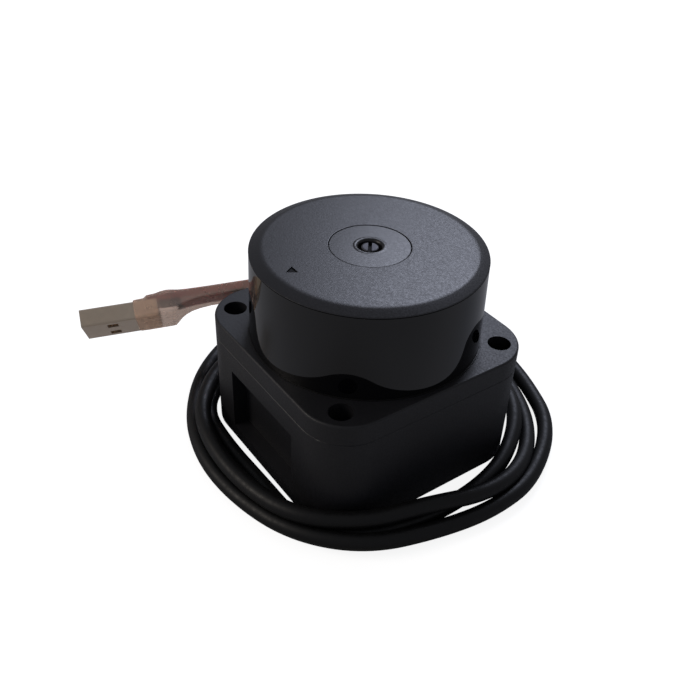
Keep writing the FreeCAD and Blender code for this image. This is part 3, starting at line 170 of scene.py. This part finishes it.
def standsFor(piece, node):
    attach(piece, "base")
    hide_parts(node)


def closeShape(joinWithin=0.002):
    # joins doubled points, fills the end that an extruded face left open, and turns the faces
    # outwards
    bpy.ops.mesh.select_all(action="SELECT")
    bpy.ops.mesh.remove_doubles(threshold=joinWithin * mm)
    bpy.ops.mesh.select_all(action="DESELECT")
    bpy.ops.mesh.select_mode(type="EDGE")
    bpy.ops.mesh.select_non_manifold()
    if bpy.context.object.data.total_edge_sel:
        bpy.ops.mesh.edge_face_add()
    bpy.ops.mesh.select_all(action="SELECT")
    bpy.ops.mesh.normals_make_consistent(inside=False)
    bpy.ops.object.mode_set(mode="OBJECT")


def turned(name, setup, closed=True):
    # as on a lathe: a circle is drawn out from ring to ring, and closed on its first one
    nothingSelected()
    rings = setup["rings"]
    radius, height = rings[0]
    bpy.ops.mesh.primitive_circle_add(vertices=setup["sides"], radius=radius * mm,
                                      location=(0, 0, height * mm),
                                      fill_type="NOTHING" if closed else "NGON")
    piece = bpy.context.object
    piece.name = name
    bpy.ops.object.transform_apply(location=True, rotation=True, scale=True)
    bpy.ops.object.mode_set(mode="EDIT")
    bpy.ops.mesh.select_all(action="SELECT")
    for nextRadius, nextHeight in rings[1:] + (rings[:1] if closed else []):
        rise = (0, 0, (nextHeight - height) * mm)
        bpy.ops.mesh.extrude_region_move(TRANSFORM_OT_translate={"value": rise})
        scale = nextRadius / radius
        bpy.ops.transform.resize(value=(scale, scale, 1), center_override=(0, 0, nextHeight * mm))
        radius, height = nextRadius, nextHeight
    closeShape()
    return piece


def cutAway(piece, cutter):
    cut = piece.modifiers.new("cut", "BOOLEAN")
    cut.operation = "DIFFERENCE"
    cut.solver = "EXACT"
    cut.object = cutter
    applyModifiers(piece)
    bpy.data.objects.remove(cutter)


# each ring of a turned piece is a radius and a height
hoodSetup = {
    "sides": 256,
    "rings": [
        (24.6, 28.8), (26.2, 28.8), (25.76, 49.6), (25.74, 49.76), (25.6, 49.8), (24.15, 49.85),
    ],
}
capSetup = {
    "sides": 256,
    "rings": [
        (2.15, 44), (3.25, 44), (3.25, 48.8), (22.9, 48.8), (22.9, 48.1), (24.0, 48.1),
        (24.0, 49.9), (25.7, 49.9), (25.77, 49.94), (25.77, 50.0), (25.7, 50.06), (25.5, 50.14),
        (24.6, 50.5), (23.75, 50.83), (23.5, 50.9), (23.25, 50.95), (22.95, 50.985), (22.6, 51),
        (9.1, 51), (8.96, 50.95), (8.92, 50.85), (8.92, 49.8), (2.6, 49.8), (2.6, 48.9),
        (1.1, 48.9), (1.1, 46.3), (2.15, 46.3),
    ],
    "markMiddle": (0, -19.5, 51),
    "markRadius": 1.5,     # corners of the triangle from its middle
    "markDepth": 0.25,
    "inkAndShadeReach": 2.0,       # faces this near the middle and this far down get ink
    "inkBelow": 0.05,
}
discSetup = {
    "sides": 192,
    "rings": [
        (2.6, 49.8), (8.8, 49.8), (8.8, 50.78), (8.76, 50.86), (8.68, 50.9), (3.75, 50.9),
        (3.6, 50.93), (3.4, 50.98), (3.2, 51), (3.0, 50.97), (2.75, 50.84), (2.6, 50.66),
        (2.52, 50.4), (2.5, 50),
    ],
}
screwSetup = {
    "sides": 64,
    "rings": [
        (0.93, 41.4), (0.93, 48.9), (1.9, 48.9), (1.9, 50.4), (1.85, 50.55), (1.7, 50.66),
        (1.4, 50.7),
    ],
    "slotLength": 6.0,     # right across the head
    "slotWidth": 0.85,
    "slotDepth": 0.9,
    "slotTurn": 141.7,     # degrees from +X
    "inkAndShadeReach": 1.8,       # faces this near the middle, between these heights, get black: painted shade on the slot's floor
    "paintedShadeLow": 49.7,
    "paintedShadeHigh": 50.5,
}


def makeHood(setup):
    hood = turned("windowHood", setup)
    smoothFaces(hood)
    standsFor(hood, "window_hood")
    return hood


def makeCap(setup):
    cap = turned("roundedCap", setup)
    nothingSelected()
    bpy.ops.mesh.primitive_cylinder_add(vertices=3, radius=setup["markRadius"] * mm,
                                        depth=setup["markDepth"] * 2 * mm,
                                        location=Vector(setup["markMiddle"]) * mm,
                                        rotation=(0, 0, math.pi))
    bpy.ops.object.transform_apply(location=True, rotation=True, scale=True)
    cutAway(cap, bpy.context.object)
    smoothFaces(cap)
    standsFor(cap, "top_cap")
    return cap


def makeDisc(setup):
    disc = turned("letInDisc", setup)
    smoothFaces(disc)
    standsFor(disc, "centre_disc")
    return disc


def makeScrew(setup):
    screw = turned("slottedScrew", setup, closed=False)
    top = setup["rings"][-1][1] * mm
    bpy.ops.mesh.primitive_cube_add(size=1, location=(0, 0, top))
    cutter = bpy.context.object
    cutter.scale = (setup["slotLength"] * mm, setup["slotWidth"] * mm, setup["slotDepth"] * 2 * mm)
    cutter.rotation_euler = (0, 0, math.radians(setup["slotTurn"]))
    bpy.ops.object.transform_apply(location=True, rotation=True, scale=True)
    cutAway(screw, cutter)
    smoothFaces(screw)
    standsFor(screw, "cap_screw")
    return screw


# the plug stands on its edge; the sleeve is drawn along it and then turned to its place
plugSetup = {
    "mouth": (-54.6, -46.9, 14.7),     # as in the source
    "turn": -21.5,                     # degrees
    "pitch": 4.16,
    "roll": 129.4,
    "core": 2.75,      # height of the shell's middle over the sleeve's flat side
}
sleeveSetup = {
    "points": 48,
    "squareness": 8.0,     # 2 is an ellipse, more is boxier
    "smoothBelow": 50,     # degrees between faces
    # distance from the mouth, half width, low side, high side
    "sections": [
        (13.0, 6.15, 0.0, 5.1), (13.25, 6.35, -0.1, 5.25), (15.6, 6.4, -0.2, 5.3),
        (16.4, 6.4, -0.85, 5.3), (18.4, 6.4, -1.0, 5.3), (19.9, 6.4, -1.35, 5.3),
        (21.2, 6.4, -1.5, 5.3), (22.2, 6.35, -1.45, 5.25), (23.0, 6.15, -1.35, 4.6),
        (24.0, 5.8, -1.25, 3.7), (25.2, 5.5, -1.2, 3.0), (26.8, 5.2, -1.2, 2.4),
        (29.0, 5.0, -1.2, 2.0), (32.0, 4.85, -1.2, 1.75), (47.2, 4.8, -1.2, 1.6),
        (47.8, 4.6, -1.05, 1.45), (48.0, 4.2, -0.8, 1.2),
    ],
}


def plugPlace(setup):
    turn = (Matrix.Rotation(math.radians(setup["turn"]), 4, "Z")
            @ Matrix.Rotation(math.radians(setup["pitch"]), 4, "X")
            @ Matrix.Rotation(math.radians(setup["roll"]), 4, "Y"))
    core = turn @ Vector((0, 0, setup["core"] * mm))
    return Matrix.Translation(Vector(setup["mouth"]) * mm - core) @ turn


def makeSleeve(setup, place):
    # film shrunk over the shell's rear and the board: a boxy ring drawn from section to section
    nothingSelected()
    start, half, low, high = setup["sections"][0]
    bpy.ops.mesh.primitive_circle_add(vertices=setup["points"], radius=1, fill_type="NGON",
                                      rotation=(math.pi / 2, 0, 0))
    sleeve = bpy.context.object
    sleeve.name = "shrinkFilm"
    bpy.ops.object.transform_apply(location=True, rotation=True, scale=True)
    power = 2 / setup["squareness"]
    for vertex in sleeve.data.vertices:
        x, z = [math.copysign(abs(part) ** power, part) for part in (vertex.co.x, vertex.co.z)]
        middle = (low + high) / 2
        vertex.co = (x * half * mm, start * mm, (middle + z * (high - low) / 2) * mm)
    bpy.ops.object.mode_set(mode="EDIT")
    bpy.ops.mesh.select_all(action="SELECT")
    for far, wide, under, over in setup["sections"][1:]:
        step = (0, (far - start) * mm, (under + over - low - high) / 2 * mm)
        bpy.ops.mesh.extrude_region_move(TRANSFORM_OT_translate={"value": step})
        bpy.ops.transform.resize(value=(wide / half, 1, (over - under) / (high - low)),
                                 center_override=(0, far * mm, (under + over) / 2 * mm))
        start, half, low, high = far, wide, under, over
    closeShape()
    sleeve.matrix_world = place
    bpy.ops.object.transform_apply(location=True, rotation=True, scale=True)
    smoothFaces(sleeve, setup["smoothBelow"])
    standsFor(sleeve, "shrink_sleeve")
    return sleeve


copySetup = {
    "joinWithin": 0.003,
    "flatWithin": 0.3,     # degrees
    "smoothBelow": 28,
}


def smoothCopy(setup, node, name):
    # a node's own shape with its loose triangles joined, so that its rounds shade smooth
    piece = nodes[node].copy()
    piece.data = nodes[node].data.copy()
    piece.name = name
    bpy.context.scene.collection.objects.link(piece)
    nothingSelected()
    piece.select_set(True)
    bpy.context.view_layer.objects.active = piece
    bpy.ops.object.mode_set(mode="EDIT")
    bpy.ops.mesh.select_all(action="SELECT")
    bpy.ops.mesh.remove_doubles(threshold=setup["joinWithin"] * mm)
    bpy.ops.mesh.dissolve_limited(angle_limit=math.radians(setup["flatWithin"]))
    bpy.ops.object.mode_set(mode="OBJECT")
    smoothFaces(piece, setup["smoothBelow"])
    standsFor(piece, node)
    return piece


made = {
    "window": [makeHood(hoodSetup)],
    "cap": [makeCap(capSetup)],
    "disc": [makeDisc(discSetup)],
    "screw": [makeScrew(screwSetup)],
    "housing": [smoothCopy(copySetup, "lower_housing", "lowerHousing"),
                smoothCopy(copySetup, "upper_cover", "upperCover")],
    "shell": [smoothCopy(copySetup, "plug_shell", "plugShell")],
    "sleeve": [makeSleeve(sleeveSetup, plugPlace(plugSetup))],
}
print("pieces made:", sum(len(group) for group in made.values()))


# materials
def hexColour(text):
    # sRGB hex to the linear colour that a shader takes
    parts = [int(text[i:i + 2], 16) / 255 for i in (1, 3, 5)]
    linear = [c / 12.92 if c <= 0.04045 else ((c + 0.055) / 1.055) ** 2.4 for c in parts]
    return (*linear, 1.0)


def addNode(tree, kind, settings=None, links=None):
    # settings are the node's own or its sockets' values; sockets go by name or number
    node = tree.nodes.new(kind)
    for name, value in (settings or {}).items():
        if isinstance(name, str) and hasattr(node, name):
            setattr(node, name, value)
        else:
            node.inputs[name].default_value = value
    for name, socket in (links or {}).items():
        tree.links.new(socket, node.inputs[name])
    return node


def newMaterial(name):
    material = bpy.data.materials.new(name)
    material.use_nodes = True
    material.node_tree.nodes.clear()
    tree = material.node_tree
    shader = addNode(tree, "ShaderNodeBsdfPrincipled")
    addNode(tree, "ShaderNodeOutputMaterial", {}, {"Surface": shader.outputs["BSDF"]})
    place = addNode(tree, "ShaderNodeTexCoord").outputs["Object"]
    return material, tree, shader, place


# bump is how strongly the grain shows, depth how high it stands, clouds how wide the soft
# patches of tone are; all lengths in mm
stockSetup = {
    "noiseLow": 0.3,      # a noise seldom leaves this range, so it is spread from here
    "noiseHigh": 0.7,
    "plasticBump": 0.6,
    "plasticClouds": 9.0,
    "metalBump": 0.3,
    "metalDepth": 0.01,
    "metalClouds": 12,    # in grains
    "clearBump": 0.3,
    "clearDepth": 0.05,
    "clearGrain": 1.2,
}


def finish(name, roughness, grain, depth, bump, settings, colours=None, clouds=None):
    # a noise cell holds one pale and one dark patch, so a grain is half a cell wide
    material, tree, shader, place = newMaterial(name)
    low, high = stockSetup["noiseLow"], stockSetup["noiseHigh"]
    fine = addNode(tree, "ShaderNodeTexNoise", {"Scale": 1 / (grain * mm) / 2, "Detail": 2.0},
                   {"Vector": place}).outputs["Fac"]
    gloss = addNode(tree, "ShaderNodeMapRange",
                    {"From Min": low, "From Max": high,
                     "To Min": roughness[0], "To Max": roughness[1]}, {"Value": fine})
    relief = addNode(tree, "ShaderNodeBump", {"Strength": bump, "Distance": depth * mm},
                     {"Height": fine})
    tree.links.new(gloss.outputs["Result"], shader.inputs["Roughness"])
    tree.links.new(relief.outputs["Normal"], shader.inputs["Normal"])
    if colours:
        wide = addNode(tree, "ShaderNodeTexNoise", {"Scale": 1 / (clouds * mm) / 2, "Detail": 3.0},
                       {"Vector": place}).outputs["Fac"]
        share = addNode(tree, "ShaderNodeMapRange",
                        {"From Min": low, "From Max": high, "To Min": 0, "To Max": 1},
                        {"Value": wide}).outputs["Result"]
        tone = addNode(tree, "ShaderNodeMix",
                       {"data_type": "RGBA", 6: hexColour(colours[0]), 7: hexColour(colours[1])},
                       {0: share})
        tree.links.new(tone.outputs[2], shader.inputs["Base Color"])
    for socket, value in settings.items():
        shader.inputs[socket].default_value = value
    return material


def moulded(name, dark, light, roughness, grain, depth, specular=0.5):
    # plastic: an even colour with faint clouds, and the fine eroded texture of the tool
    return finish(name, roughness, grain, depth, stockSetup["plasticBump"],
                  {"Specular IOR Level": specular}, (dark, light), stockSetup["plasticClouds"])


def metal(name, dark, light, roughness, grain):
    # metal: patches of tone many grains wide, and tool marks that only break up the shine
    return finish(name, roughness, grain, stockSetup["metalDepth"], stockSetup["metalBump"],
                  {"Metallic": 1.0}, (dark, light), grain * stockSetup["metalClouds"])


def clear(name, tint, roughness, ior, haze=0.0):
    # clear stock; haze is the share of light that it scatters back instead of passing on
    return finish(name, roughness, stockSetup["clearGrain"], stockSetup["clearDepth"],
                  stockSetup["clearBump"],
                  {"Base Color": hexColour(tint), "Transmission Weight": 1.0 - haze, "IOR": ior})


finishes = {
    # ABS from a spark-eroded tool: near black and matt, with an even fine grain
    "housing": moulded("blackAbsHousing", "#161619", "#1c1c20", (0.42, 0.56), 0.22, 0.03),
    # polycarbonate dyed to pass infrared, from a polished tool: shines like black glass
    "window": moulded("glossyInfraredWindow", "#070709", "#09090b", (0.03, 0.05), 1.5, 0.002, 0.6),
    # adhesive cured in its groove: black, half dull and a little lumpy
    "glue": moulded("curedGlueBead", "#0b0b0c", "#121113", (0.4, 0.55), 0.4, 0.03),
    # ABS from a finer tool: silky, so that the far edge catches the light
    "cap": moulded("texturedCap", "#1b1b1f", "#222226", (0.30, 0.44), 0.20, 0.03),
    # the let-in disc, moulded smoother than the cap: the same black, more even and glossier
    "disc": moulded("smoothDisc", "#17171a", "#1d1d20", (0.28, 0.36), 0.30, 0.01),
    # soft PVC drawn over the wires: deep black with a broad dull shine along it
    "lead": moulded("blackLeadJacket", "#08080a", "#0d0d0e", (0.42, 0.56), 0.5, 0.02, 0.35),
    # filled epoxy pressed round the chips: flat dark grey
    "chip": moulded("blackMouldingResin", "#101012", "#18181a", (0.5, 0.6), 0.15, 0.01),
    # undyed moulded nylon: milky cream
    "connector": moulded("nylonConnector", "#cfc8b4", "#ddd8c8", (0.4, 0.5), 0.4, 0.01),
    # white moulded polyester: plain and matt
    "tongue": moulded("whiteTongue", "#d8d8d6", "#e6e6e4", (0.4, 0.5), 0.4, 0.01),
    # drawn PVC jackets: plain red with a soft shine
    "wire": moulded("wireJacket", "#8c1c18", "#a02420", (0.4, 0.5), 0.4, 0.01),
    # lacquer over copper: smooth, glossy and a little uneven in tone
    "board_green": moulded("greenSolderMask", "#0d4a28", "#0f5830", (0.25, 0.35), 0.5, 0.01),
    "board_red": moulded("redSolderMask", "#7c1010", "#961a18", (0.22, 0.32), 0.5, 0.01),
    # turned steel left dull: grey with a soft, wide highlight
    "screw": metal("dullScrewSteel", "#545458", "#626266", (0.5, 0.6), 0.15),
    # turned and ground steel: bright, with narrow highlights
    "steel": metal("turnedSteel", "#a8a8aa", "#bcbcbe", (0.25, 0.35), 0.2),
    # steel with black oxide: dark grey that still shines as metal
    "dark_steel": metal("blackenedSteel", "#3a3a3c", "#4a4a4c", (0.35, 0.45), 0.2),
    # punched electrical sheet in a stack: mid grey and rather dull
    "core_steel": metal("stackedSheet", "#6a6a6e", "#7c7c80", (0.4, 0.5), 0.3),
    # nickel plated over a sintered magnet: dark, with a soft shine
    "magnet": metal("nickelPlatedMagnet", "#5c5c60", "#6a6a6e", (0.3, 0.4), 0.3),
    # enamelled copper wire: orange brown and glossy
    "copper": metal("enamelledCopper", "#9a4c22", "#b86030", (0.3, 0.4), 0.2),
    # turned brass: warm yellow, bright
    "brass": metal("turnedBrass", "#a88646", "#c09a54", (0.25, 0.35), 0.2),
    # turned aluminium: pale grey, softly bright
    "alloy": metal("turnedAluminium", "#b4b6b8", "#c8cacc", (0.3, 0.4), 0.2),
    # black anodised aluminium: black with a grey metal sheen
    "black_alloy": metal("blackAnodisedAluminium", "#1c1c1e", "#262628", (0.4, 0.5), 0.2),
    # stamped and plated sheet: warm grey, satin
    "shell": metal("stampedShellSteel", "#d6c4ae", "#decdb8", (0.34, 0.44), 0.5),
    # gold over nickel: yellow and glossy
    "gold": metal("goldPlating", "#c89c48", "#dcb060", (0.2, 0.3), 0.2),
    # ground and coated glass: clear, with a bluish cast
    "lens": clear("coatedLensGlass", "#c8d4e8", (0.0, 0.02), 1.52),
    # thin shrunk film: passes half the light nearly straight and lays a warm haze over the rest
    "sleeve": clear("clearShrinkSleeve", "#d2bdb0", (0.2, 0.3), 1.06, 0.5),
}
# printing ink in the mark, and painted shade on the floor of the screw's slot: dead black
inkAndSlotShade = moulded("markInkAndPaintedSlotShade", "#060607", "#09090a", (0.6, 0.7), 0.2, 0.01, 0.2)
slotOf = {entry["node"]: entry["material_slot"] for entry in frame["record"]["subparts"]}
for name, item in nodes.items():
    item.data.materials.clear()
    item.data.materials.append(finishes[slotOf[name]])
lead.data.materials.append(finishes["lead"])
for slot, group in made.items():
    for piece in group:
        piece.data.materials.clear()
        piece.data.materials.append(finishes[slot])
cap = made["cap"][0].data
cap.materials.append(inkAndSlotShade)
markMiddle = Vector(capSetup["markMiddle"]) * mm
for face in cap.polygons:
    near = (face.center - markMiddle).length < capSetup["inkAndShadeReach"] * mm
    if near and face.center.z < markMiddle.z - capSetup["inkBelow"] * mm:
        face.material_index = 1
# the slot's floor gets the black material as painted shade, standing in for the shade that falls
# into the slot
screw = made["screw"][0].data
screw.materials.append(inkAndSlotShade)
for face in screw.polygons:
    near = face.center.xy.length < screwSetup["inkAndShadeReach"] * mm
    if near and screwSetup["paintedShadeLow"] * mm < face.center.z < screwSetup["paintedShadeHigh"] * mm:
        face.material_index = 1
print("materials made:", len(finishes))


# floor, world and lights
stageSetup = {
    "floorSize": 6,            # m
    "floorHeight": -0.0002,    # just under what stands on it
    "floorColour": "#b8b8b8",
    "floorRoughness": 0.9,
    "floorGlow": 0.87,         # with the lamps' light on it this makes white
    "skyColour": "#f4f6ff",
    "skyStrength": 0.22,
}


def seenStraight(tree):
    # 1 for what is seen directly or through the sleeve, 0 for what lights or is mirrored
    path = addNode(tree, "ShaderNodeLightPath")
    return addNode(tree, "ShaderNodeMath", {"operation": "MAXIMUM"},
                   {0: path.outputs["Is Camera Ray"],
                    1: path.outputs["Is Transmission Ray"]}).outputs[0]


def addFloor(setup):
    bpy.ops.mesh.primitive_plane_add(size=setup["floorSize"],
                                     location=(0, 0, setup["floorHeight"]))
    floor = bpy.context.object
    floor.name = "paleFloor"
    material, tree, shader, place = newMaterial("whiteFloor")
    shader.inputs["Base Color"].default_value = hexColour(setup["floorColour"])
    shader.inputs["Roughness"].default_value = setup["floorRoughness"]
    # the glow fills up to white and leaves the object's own soft shadow
    share = addNode(tree, "ShaderNodeMath", {"operation": "MULTIPLY", 1: setup["floorGlow"]},
                    {0: seenStraight(tree)})
    glow = addNode(tree, "ShaderNodeEmission", {}, {"Strength": share.outputs[0]})
    both = addNode(tree, "ShaderNodeAddShader", {},
                   {0: shader.outputs["BSDF"], 1: glow.outputs["Emission"]})
    output = [node for node in tree.nodes if node.type == "OUTPUT_MATERIAL"][0]
    tree.links.new(both.outputs["Shader"], output.inputs["Surface"])
    floor.data.materials.append(material)
    floor.select_set(False)


def addWorld(setup):
    world = bpy.data.worlds.new("studio")
    bpy.context.scene.world = world
    world.use_nodes = True
    tree = world.node_tree
    tree.nodes.clear()
    soft = addNode(tree, "ShaderNodeBackground",
                   {"Color": hexColour(setup["skyColour"]), "Strength": setup["skyStrength"]})
    white = addNode(tree, "ShaderNodeBackground", {"Color": (1, 1, 1, 1), "Strength": 1.0})
    mix = addNode(tree, "ShaderNodeMixShader", {},
                  {"Fac": seenStraight(tree), 1: soft.outputs["Background"],
                   2: white.outputs["Background"]})
    addNode(tree, "ShaderNodeOutputWorld", {}, {"Surface": mix.outputs["Shader"]})


# places, sizes and the point they aim at in m
lampTarget = (0, 0, 0.03)
lampSetup = {
    "backSoftbox": {"place": (-0.46, 0.56, 0.66), "size": 0.42, "power": 3.2, "colour": "#e4eaff"},
    "leftSoftbox": {"place": (-0.30, -0.60, 0.40), "size": 0.30, "power": 1.45,
                    "colour": "#fff5ea"},
}


def addLamp(name, setup):
    data = bpy.data.lights.new(name, "AREA")
    data.shape = "SQUARE"
    data.size = setup["size"]
    data.energy = setup["power"]
    data.color = hexColour(setup["colour"])[:3]
    lamp = bpy.data.objects.new(name, data)
    bpy.context.scene.collection.objects.link(lamp)
    lamp.location = setup["place"]
    lamp.rotation_euler = (Vector(lampTarget) - lamp.location).to_track_quat("-Z", "Y").to_euler()


addFloor(stageSetup)
addWorld(stageSetup)
for name, setup in lampSetup.items():
    addLamp(name, setup)
bpy.context.scene.view_settings.view_transform = "Standard"
print("stage set")

bpy.context.view_layer.update()
